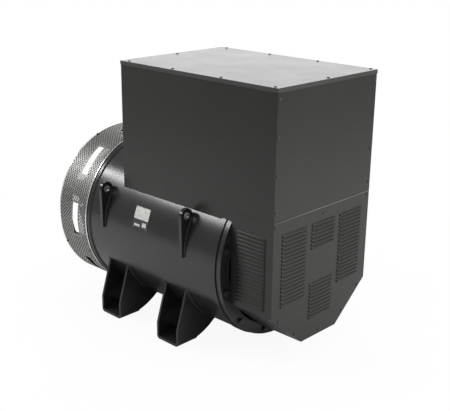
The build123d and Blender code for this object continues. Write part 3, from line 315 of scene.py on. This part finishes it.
def satin_paint(name, colour, roughness, specular, grain, depth, dust_and_sheen_amount, coat=0.0):
    """Sprayed or baked black paint: pebbled, unevenly wiped, and faintly lighter on top, which is a painted
    sheen of the overhead light mixed with dust.
    """
    gloss = {"specular": specular, "coat": coat, "coat_roughness": 0.3}
    material, tree, shader, place = finish_of(name, roughness, **gloss)
    skin = place_effect(tree, peel, {"Place": place, "Grain": grain, "Waves": 2.5})
    facing = add(tree, "ShaderNodeNewGeometry").outputs["Normal"]
    # Upward faces are lightened in specks: a painted sheen of the overhead light, mixed with dust.
    dust_and_sheen_mask = place_effect(tree, dust_sheen_group, {"Place": place, "Facing": facing, "Amount": dust_and_sheen_amount})
    toned = blended(tree, skin["Tone"], shaded(colour, 0.88), shaded(colour, 1.12))
    tree.links.new(blended(tree, dust_and_sheen_mask["Mask"], toned, dust_and_sheen_grey), shader.inputs["Base Color"])
    wiped = place_effect(tree, rubbed, {"Place": place, "Scale": 7.0, "Level": roughness, "Spread": 0.16})
    tree.links.new(wiped["Roughness"], shader.inputs["Roughness"])
    bump(tree, shader, skin["Height"], depth, 0.4 * mm)
    return material


def weld_paint(name, colour):
    """Painted weld metal with the ripples of the bead under the paint."""
    material, tree, shader, place = finish_of(name, 0.36, specular=0.5)
    ripples = noise(tree, place, 220.0, 3.0)
    tone = ramp(tree, ripples, 0.3, 0.7)
    tree.links.new(blended(tree, tone, colour, shaded(colour, 1.7)), shader.inputs["Base Color"])
    bump(tree, shader, ripples, 0.9, 1.2 * mm)
    return material


def galvanised(name, colour, roughness, cell_scale):
    """Zinc-coated sheet with its crystals and a slightly uneven gloss."""
    material, tree, shader, place = finish_of(name, roughness, metallic=1.0)
    bloom = place_effect(tree, zinc_bloom, {"Place": place, "Scale": cell_scale})
    tree.links.new(blended(tree, bloom["Tone"], shaded(colour, 0.82), colour), shader.inputs["Base Color"])
    gloss = ramp(tree, bloom["Tone"], 0.0, 1.0, roughness - 0.06, roughness + 0.08)
    tree.links.new(gloss, shader.inputs["Roughness"])
    bump(tree, shader, bloom["Height"], 0.15, 0.2 * mm)
    return material


def machined(name, colour, roughness, pitch=900.0, metallic=1.0):
    """Turned or ground metal with fine lines round the shaft."""
    material, tree, shader, place = finish_of(name, roughness, metallic=metallic)
    marks = place_effect(tree, tool_lines, {"Place": place, "Pitch": pitch})
    tree.links.new(blended(tree, marks["Tone"], shaded(colour, 0.8), colour), shader.inputs["Base Color"])
    gloss = place_effect(tree, rubbed, {"Place": place, "Scale": 25.0, "Level": roughness, "Spread": 0.14})
    tree.links.new(gloss["Roughness"], shader.inputs["Roughness"])
    bump(tree, shader, marks["Height"], 0.25, 0.1 * mm)
    return material


def cast_metal(name, colour, roughness):
    """Sand-cast metal: coarse skin with darker hollows."""
    material, tree, shader, place = finish_of(name, roughness, metallic=1.0)
    skin = place_effect(tree, peel, {"Place": place, "Grain": 420.0, "Waves": 12.0})
    hollow = ramp(tree, skin["Height"], 0.35, 0.6)
    tree.links.new(blended(tree, hollow, shaded(colour, 0.6), colour), shader.inputs["Base Color"])
    bump(tree, shader, skin["Height"], 0.6, 0.5 * mm)
    return material


def wound_copper(name, colour):
    """Varnished turns of wire, one over another outwards from the shaft."""
    material, tree, shader, place = finish_of(name, 0.3, specular=0.6, coat=0.6, coat_roughness=0.15)
    split = add(tree, "ShaderNodeSeparateXYZ", {0: place}).outputs
    strands = maths(tree, "SINE", maths(tree, "MULTIPLY", shaft_radius(tree, split), 2600.0))
    share = ramp(tree, strands, -1.0, 1.0)
    tree.links.new(blended(tree, share, shaded(colour, 0.5), colour), shader.inputs["Base Color"])
    bump(tree, shader, share, 0.5, 0.6 * mm)
    return material


def moulded(name, colour, roughness):
    """Moulded resin with a fine matt texture."""
    material, tree, shader, place = finish_of(name, roughness)
    skin = place_effect(tree, peel, {"Place": place, "Grain": 900.0, "Waves": 20.0})
    tree.links.new(blended(tree, skin["Tone"], colour, shaded(colour, 1.25)), shader.inputs["Base Color"])
    bump(tree, shader, skin["Height"], 0.3, 0.2 * mm)
    return material


def bare_nameplate(name):
    """A blank rating plate: a bare etched field above, a dark field with two blank boxes below."""
    material, tree, shader, place = finish_of(name, 0.4, specular=0.5)
    low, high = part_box("nameplate")
    split = add(tree, "ShaderNodeSeparateXYZ", {0: place}).outputs
    along = ramp(tree, split[0], low.x, high.x)
    upward = ramp(tree, split[2], low.z, high.z)

    def between(value, low_end, high_end):
        """A mask where a value lies between two ends."""
        above = maths(tree, "GREATER_THAN", value, low_end)
        return maths(tree, "MULTIPLY", above, maths(tree, "LESS_THAN", value, high_end))

    def field(left, right, bottom, top):
        """A mask over one part of the plate, in shares of its length and height."""
        return maths(tree, "MULTIPLY", between(along, left, right), between(upward, bottom, top))

    mottle = noise(tree, place, 170.0, 5.0)
    pale = blended(tree, ramp(tree, mottle, 0.35, 0.65), (0.42, 0.41, 0.39), (0.72, 0.71, 0.68))
    fields = maths(tree, "MAXIMUM", field(0.03, 0.97, 0.43, 0.97), field(0.1, 0.46, 0.1, 0.2))
    fields = maths(tree, "MAXIMUM", fields, field(0.62, 0.88, 0.12, 0.32))
    tree.links.new(blended(tree, fields, (0.03, 0.03, 0.03), pale), shader.inputs["Base Color"])
    bump(tree, shader, mottle, 0.2, 0.2 * mm)
    return material


frame_black = (0.014, 0.014, 0.0137)
box_black = (0.0175, 0.017, 0.0156)
finishes = {
    "frame_paint": satin_paint("frame paint", frame_black, 0.25, 0.42, 260.0, 0.18, 0.03),
    "box_paint": satin_paint("box paint", box_black, 0.33, 0.32, 520.0, 0.14, 0.03),
    "zinc_sheet": galvanised("zinc sheet", (0.60, 0.61, 0.62), 0.34, 70.0),
    "guard_steel": galvanised("guard steel", (0.27, 0.27, 0.262), 0.5, 160.0),
    "zinc_screws": machined("zinc screws", (0.42, 0.42, 0.40), 0.34),
    "bearing_steel": machined("bearing steel", (0.66, 0.66, 0.66), 0.14, 1400.0),
    "cage_brass": machined("cage brass", (0.78, 0.60, 0.30), 0.26),
    "laminations": machined("laminations", (0.24, 0.25, 0.27), 0.42, 1500.0, 0.7),
    "varnished_copper": wound_copper("varnished copper", (0.28, 0.09, 0.035)),
    "turned_steel": machined("turned steel", (0.45, 0.45, 0.45), 0.3),
    "cast_aluminium": cast_metal("cast aluminium", (0.62, 0.63, 0.64), 0.4),
    "bar_copper": machined("bar copper", (0.80, 0.45, 0.28), 0.3),
    "moulded_insulation": moulded("moulded insulation", (0.33, 0.05, 0.035), 0.5),
    "regulator_case": moulded("regulator case", (0.02, 0.02, 0.022), 0.45),
    "nameplate_metal": bare_nameplate("nameplate metal"),
}
black_screws = machined("black screws", (0.05, 0.05, 0.05), 0.35, metallic=0.6)
rim_steel = machined("rim steel", (0.9, 0.9, 0.88), 0.25)
# The lid gets the most lightening on its top: a painted sheen of the overhead light, mixed with dust.
lid_paint = satin_paint("lid paint", box_black, 0.36, 0.5, 520.0, 0.1, 0.05, coat=0.5)
# Lighter paint for the seam lip: a painted highlight along its edge.
highlight_edge_paint = satin_paint("painted highlight edge paint", (0.13, 0.128, 0.122), 0.4, 0.4, 520.0, 0.1, 0.0)
weld_black = weld_paint("weld paint", frame_black)

for subpart in frame["record"]["subparts"]:
    node = frame["nodes"][subpart["node"]]
    for slot in node.material_slots:
        slot.material = finishes[subpart["material_slot"]]
for slot in frame["nodes"]["box_lid"].material_slots:
    slot.material = lid_paint
for node in ("rear_bracket_bolts", "guard_screws"):
    for slot in frame["nodes"][node].material_slots:
        slot.material = black_screws


# ================================================================ piece helpers
def piece_of(name, shape, material, smooth=False):
    """Turns a finished shape into a named piece of the stator."""
    bmesh.ops.recalc_face_normals(shape, faces=shape.faces)
    for face in shape.faces:
        face.smooth = smooth
    mesh = bpy.data.meshes.new(name)
    shape.to_mesh(mesh)
    shape.free()
    mesh.materials.append(material)
    piece = bpy.data.objects.new(name, mesh)
    scene.collection.objects.link(piece)
    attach(piece, "stator")
    return piece


def turn_about_shaft(shape, points, start, sweep, steps):
    """Sweeps a section of (x, radius) about the shaft; angles grow from +Y towards +Z."""
    verts = [shape.verts.new((x, 0, radius)) for x, radius in points]
    edges = [shape.edges.new((verts[k - 1], verts[k])) for k in range(len(verts))]
    whole = sweep == full_turn
    axis = {"cent": (0, 0, 0), "axis": (1, 0, 0), "dvec": (0, 0, 0)}
    begun = Matrix.Rotation(start - math.pi / 2, 3, "X")
    bmesh.ops.rotate(shape, verts=verts, cent=axis["cent"], matrix=begun)
    swept = bmesh.ops.spin(shape, geom=verts + edges, angle=sweep, steps=steps, use_merge=whole, **axis)
    if not whole:
        ends = [edges, [e for e in swept["geom_last"] if isinstance(e, bmesh.types.BMEdge)]]
        for end in ends:
            bmesh.ops.contextual_create(shape, geom=end)


def islands(node):
    """The lowest and highest corner of each separate solid in a CAD node."""
    shape = bmesh.new()
    shape.from_mesh(frame["nodes"][node].data)
    bmesh.ops.remove_doubles(shape, verts=shape.verts, dist=0.01 * mm)
    left = set(shape.verts)
    found = []
    while left:
        grown, reach = set(), [left.pop()]
        while reach:
            vert = reach.pop()
            grown.add(vert)
            linked = [edge.other_vert(vert) for edge in vert.link_edges]
            fresh = [other for other in linked if other in left]
            left.difference_update(fresh)
            reach.extend(fresh)
        corners = [vert.co.copy() for vert in grown]
        low = Vector([min(c[k] for c in corners) for k in range(3)])
        high = Vector([max(c[k] for c in corners) for k in range(3)])
        found.append((low, high))
    shape.free()
    return found


def facing(origin, outwards):
    """A transform that stands a piece at a place, with its own z outwards."""
    return Matrix.Translation(origin) @ Vector(outwards).to_track_quat("Z", "Y").to_matrix().to_4x4()


# ================================================================ perforated outlet guard
def perforated_band():
    """Sheet punched in a staggered pattern, with eight clear slots, bent into a band."""
    length = guard_high.x - guard_low.x
    girth = math.tau * guard_skin_r
    shape = bmesh.new()
    bmesh.ops.create_grid(shape, x_segments=guard_rows, y_segments=guard_columns, size=0.5)
    bmesh.ops.scale(shape, vec=(length, girth, 1), verts=shape.verts)
    punched, windows = [], []
    for face in shape.faces:
        centre = face.calc_center_median()
        row = int((centre.x / length + 0.5) * guard_rows)
        column = int((centre.y / girth + 0.5) * guard_columns)
        across = (column + slot_columns // 2) % slot_pitch
        beside = across <= slot_columns or across == slot_pitch - 1
        bordering = beside and slot_rows[0] - 1 <= row <= slot_rows[1]
        if slot_rows[0] <= row < slot_rows[1] and across < slot_columns:
            windows.append(face)
        elif not bordering and (row + column) % 2 == 0 and 0 < row < guard_rows - 1:
            punched.append(face)
    bmesh.ops.inset_individual(shape, faces=punched, thickness=hole_inset, use_even_offset=True)
    corners = list({vert for face in punched for vert in face.verts})
    bmesh.ops.bevel(
        shape, geom=corners, offset=hole_corner, segments=1, profile=0.5, affect="VERTICES", material=-1
    )
    holes = [face for face in shape.faces if len(face.verts) == 8]
    bmesh.ops.delete(shape, geom=holes + windows, context="FACES")
    for vert in shape.verts:
        angle = vert.co.y / guard_skin_r
        x = vert.co.x + (guard_low.x + guard_high.x) / 2
        vert.co = (x, guard_skin_r * math.cos(angle), guard_skin_r * math.sin(angle))
    bmesh.ops.remove_doubles(shape, verts=shape.verts, dist=0.05 * mm)
    bmesh.ops.recalc_face_normals(shape, faces=shape.faces)
    bmesh.ops.solidify(shape, geom=shape.faces, thickness=guard_sheet)
    return shape


guard_band = piece_of("guard_perforated_band", perforated_band(), finishes["guard_steel"])
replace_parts(guard_band, "air_outlet_guard")


def guard_rims():
    """The rolled beads at both edges of the guard."""
    shape = bmesh.new()
    inner = guard_skin_r - guard_sheet
    for edge, inward in ((guard_low.x, 1), (guard_high.x, -1)):
        section = [
            (edge, inner),
            (edge, guard_bead_r - rim_soft),
            (edge + inward * rim_soft, guard_bead_r),
            (edge + inward * bead_width, guard_bead_r),
            (edge + inward * rim_width, guard_skin_r + 0.1 * mm),
            (edge + inward * rim_width, inner),
        ]
        turn_about_shaft(shape, section, 0, full_turn, 180)
    bmesh.ops.remove_doubles(shape, verts=shape.verts, dist=0.02 * mm)
    return shape


piece_of("guard_rims", guard_rims(), rim_steel)


# ================================================================ louvre hoods
def hood(shape, length):
    """One pressed hood lying along local x, standing on local z, open at its lower (-y) lip."""
    half = louvre_height / 2
    bend = [math.radians(90 * k / 5) for k in range(6)]
    section = [(half - louvre_height * (1 - math.cos(a)), louvre_stand * math.sin(a)) for a in bend]
    swelling = [(0, 0.02), (1.2 * mm, 0.6), (3.5 * mm, 0.92), (7 * mm, 1)]  # (distance from an end, share)
    stations = [(step - length / 2, swell) for step, swell in swelling]
    stations += [(length / 2 - step, swell) for step, swell in reversed(swelling)]
    rows = [[shape.verts.new((x, y, z * swell)) for y, z in section] for x, swell in stations]
    edges = [[shape.edges.new(pair) for pair in zip(row, row[1:])] for row in rows]
    for low, high in zip(edges, edges[1:]):
        bmesh.ops.bridge_loops(shape, edges=low + high)


def louvre_field(name, seats):
    """Rows of hoods; a seat is (transform of the panel face, place, top, rows, length)."""
    shape = bmesh.new()
    for seat, place, top, rows, length in seats:
        single = bmesh.new()
        hood(single, length)
        mesh = bpy.data.meshes.new("hood")
        single.to_mesh(mesh)
        single.free()
        for row in range(rows):
            before = len(shape.verts)
            shape.from_mesh(mesh)
            shape.verts.ensure_lookup_table()
            moved = shape.verts[before:]
            stand = seat @ Matrix.Translation((place, top - row * louvre_pitch, 0))
            bmesh.ops.transform(shape, matrix=stand, verts=moved)
        bpy.data.meshes.remove(mesh)
    return piece_of(name, shape, finishes["box_paint"], smooth=True)


# Each panel face as a transform: the panel's own x runs along a hood, y up and z outwards.
near_face = Matrix(((1, 0, 0, 0), (0, 0, -1, box_low.y), (0, 1, 0, 0), (0, 0, 0, 1)))
far_face = Matrix(((-1, 0, 0, 0), (0, 0, 1, -box_low.y), (0, 1, 0, 0), (0, 0, 0, 1)))
tail_face = Matrix(((0, 0, 1, panel_high.x - louvre_reach), (1, 0, 0, 0), (0, 1, 0, 0), (0, 0, 0, 1)))
louvre_field("side_louvres_near", [(near_face, place, *rest) for place, *rest in side_louvres])
louvre_field("side_louvres_far", [(far_face, -place, *rest) for place, *rest in side_louvres])
louvre_field("rear_louvres", [(tail_face, *rest) for rest in rear_louvres])


# ================================================================ screws
def button_head(radius, height):
    """A domed screw head with a round socket."""
    shape = bmesh.new()
    bmesh.ops.create_circle(shape, cap_ends=True, radius=radius, segments=12)
    face = shape.faces[:][0]
    for rise, shrink in ((0.45, 0.96), (0.35, 0.84), (0.2, 0.7)):
        made = bmesh.ops.extrude_face_region(shape, geom=[face])["geom"]
        verts = [item for item in made if isinstance(item, bmesh.types.BMVert)]
        face = next(item for item in made if isinstance(item, bmesh.types.BMFace))
        bmesh.ops.translate(shape, verts=verts, vec=(0, 0, rise * height))
        bmesh.ops.scale(shape, verts=verts, vec=(shrink, shrink, 1))
    bmesh.ops.inset_region(shape, faces=[face], thickness=0.2 * radius)
    socket = bmesh.ops.extrude_face_region(shape, geom=[face])["geom"]
    verts = [item for item in socket if isinstance(item, bmesh.types.BMVert)]
    bmesh.ops.translate(shape, verts=verts, vec=(0, 0, -0.6 * height))
    mesh = bpy.data.meshes.new("button head")
    shape.to_mesh(mesh)
    shape.free()
    return mesh


def heads_on(name, node, head, outwards):
    """A head over every screw of a CAD node, its top at the screw's own top."""
    shape = bmesh.new()
    axis = Vector(outwards)
    for low, high in islands(node):
        before = len(shape.verts)
        shape.from_mesh(head)
        shape.verts.ensure_lookup_table()
        middle = (low + high) / 2
        top = middle + axis * ((high - middle).dot(axis) - screw_head_height)
        bmesh.ops.transform(shape, matrix=facing(top, axis), verts=shape.verts[before:])
    return piece_of(name, shape, black_screws)


screw_head = button_head(screw_head_r, screw_head_height)
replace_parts(heads_on("lid_button_screws", "lid_screws", screw_head, (0, 0, 1)), "lid_screws")
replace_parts(heads_on("tail_button_screws", "rear_panel_screws", screw_head, (1, 0, 0)), "rear_panel_screws")


# ================================================================ welds
def weld_section(x, radius, width, way):
    """A rounded fillet section leaning against a face at x, on a surface at a radius."""
    return [
        (x, radius - 0.5 * mm),
        (x, radius + width),
        (x + way * 0.45 * width, radius + 0.62 * width),
        (x + way * 0.8 * width, radius + 0.3 * width),
        (x + way * 1.15 * width, radius - 0.5 * mm),
    ]


def ring_welds():
    """The bead where the front ring meets the frame."""
    shape = bmesh.new()
    turn_about_shaft(shape, weld_section(shell_low.x, shell_r, ring_weld, 1), 0, full_turn, 120)
    return shape


piece_of("ring_welds", ring_welds(), weld_black, smooth=True)


def foot_welds():
    """Beads where the upright plates of the four feet meet the frame."""
    shape = bmesh.new()
    for end in ("front", "rear"):
        for side in ("near", "far"):
            low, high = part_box(f"foot_{end}_{side}")
            for x, way in ((low.x, -1), (high.x, 1)):
                section = weld_section(x, shell_r, foot_weld, way)
                start, sweep = math.radians(foot_weld_starts[side]), math.radians(foot_weld_sweep)
                turn_about_shaft(shape, section, start, sweep, 24)
    return shape


piece_of("foot_welds", foot_welds(), weld_black, smooth=True)


def lug_welds():
    """Beads along both flanks of the lifting eye plates."""
    shape = bmesh.new()
    for low, high in islands("lifting_lugs"):
        start = math.radians(lug_weld_starts["near" if low.y < 0 else "far"])
        for x, way in ((low.x, -1), (high.x, 1)):
            section = weld_section(x, shell_r, lug_weld, way)
            turn_about_shaft(shape, section, start, math.radians(lug_weld_sweep), 16)
    return shape


piece_of("lug_welds", lug_welds(), weld_black, smooth=True)


# ================================================================ seam lip over the louvred panel
def seam_lip():
    """The folded top edge of the louvred panel, standing a little proud of the box above it; its lighter
    paint is a painted highlight.
    """
    shape = bmesh.new()
    verts = bmesh.ops.create_cube(shape, size=1)["verts"]
    width = panel_high.y - panel_low.y - lip_side_gap
    bmesh.ops.scale(shape, vec=(lip_depth, width, lip_height), verts=verts)
    middle = (panel_high.x - louvre_stand + lip_depth / 2, 0, panel_high.z - lip_drop)
    bmesh.ops.translate(shape, vec=middle, verts=verts)
    long_edges = [e for e in shape.edges if e.calc_length() > 2 * max(lip_depth, lip_height)]
    rounding = {"offset": lip_round, "segments": 2, "profile": 0.5, "affect": "EDGES", "material": -1}
    bmesh.ops.bevel(shape, geom=long_edges, **rounding)
    return shape


# The lip is given the lighter paint as a painted highlight.
piece_of("cover_seam_lip", seam_lip(), highlight_edge_paint, smooth=True)


# ================================================================ floor, lamps and background
def pale_floor():
    """A white floor that keeps a faint shadow under the part and none far from it."""
    shape = bmesh.new()
    bmesh.ops.create_grid(shape, x_segments=1, y_segments=1, size=12)
    bmesh.ops.translate(shape, vec=(0.6, 0, floor_z), verts=shape.verts)
    mesh = bpy.data.meshes.new("floor")
    shape.to_mesh(mesh)
    shape.free()
    material = bpy.data.materials.new("pale floor")
    material.use_nodes = True
    tree = material.node_tree
    shader = tree.nodes["Principled BSDF"]
    shader.inputs["Base Color"].default_value = (0.9, 0.9, 0.9, 1)
    shader.inputs["Roughness"].default_value = 0.9
    shader.inputs["Specular IOR Level"].default_value = 0.1
    glow = add(tree, "ShaderNodeEmission", {"Color": (1, 1, 1, 1), "Strength": 1.0})
    seen = add(tree, "ShaderNodeLightPath").outputs
    spot = add(tree, "ShaderNodeTexCoord").outputs["Object"]
    reach = add(tree, "ShaderNodeVectorMath", {0: spot, 1: (0.6, 0.0, floor_z)}, operation="DISTANCE")
    fade = ramp(tree, reach.outputs["Value"], 0.9, 2.0, 0.93, 1.0)
    share = maths(tree, "MULTIPLY", seen["Is Camera Ray"], fade)
    mix = add(tree, "ShaderNodeMixShader", {0: share, 1: shader.outputs[0], 2: glow.outputs[0]})
    tree.links.new(mix.outputs[0], tree.nodes["Material Output"].inputs["Surface"])
    mesh.materials.append(material)
    floor = bpy.data.objects.new("floor", mesh)
    scene.collection.objects.link(floor)


def softbox(name, place, target, width, height, radiance):
    """A soft rectangular lamp of a given brightness, turned towards a point."""
    data = bpy.data.lights.new(name, "AREA")
    data.shape = "RECTANGLE"
    data.size, data.size_y = width, height
    data.energy = radiance * math.pi * width * height
    lamp = bpy.data.objects.new(name, data)
    scene.collection.objects.link(lamp)
    away = (Vector(place) - Vector(target)).to_track_quat("Z", "Y")
    lamp.matrix_world = Matrix.Translation(place) @ away.to_matrix().to_4x4()


def studio():
    """A white surround that lights dimly, and four softboxes."""
    world = bpy.data.worlds.new("studio")
    scene.world = world
    world.use_nodes = True
    tree = world.node_tree
    seen = add(tree, "ShaderNodeLightPath").outputs
    shown = maths(tree, "MAXIMUM", seen["Is Camera Ray"], seen["Is Transmission Ray"])
    strength = ramp(tree, shown, 0.0, 1.0, 0.45, 1.0)
    backdrop = tree.nodes["Background"]
    backdrop.inputs["Color"].default_value = (1, 1, 1, 1)
    tree.links.new(strength, backdrop.inputs["Strength"])
    middle = (0.6, 0.0, 0.15)
    softbox("overhead softbox", (0.6, 0.2, 3.2), middle, 3.0, 3.0, 1.2)
    softbox("back softbox", (-2.2, 2.8, 1.9), middle, 4.5, 2.6, 1.3)
    softbox("tail softbox", (4.2, 0.9, 1.6), middle, 1.8, 1.8, 9.5)
    softbox("strip softbox", (-1.5, -1.85, 1.8), middle, 1.8, 0.3, 29.0)


pale_floor()
studio()
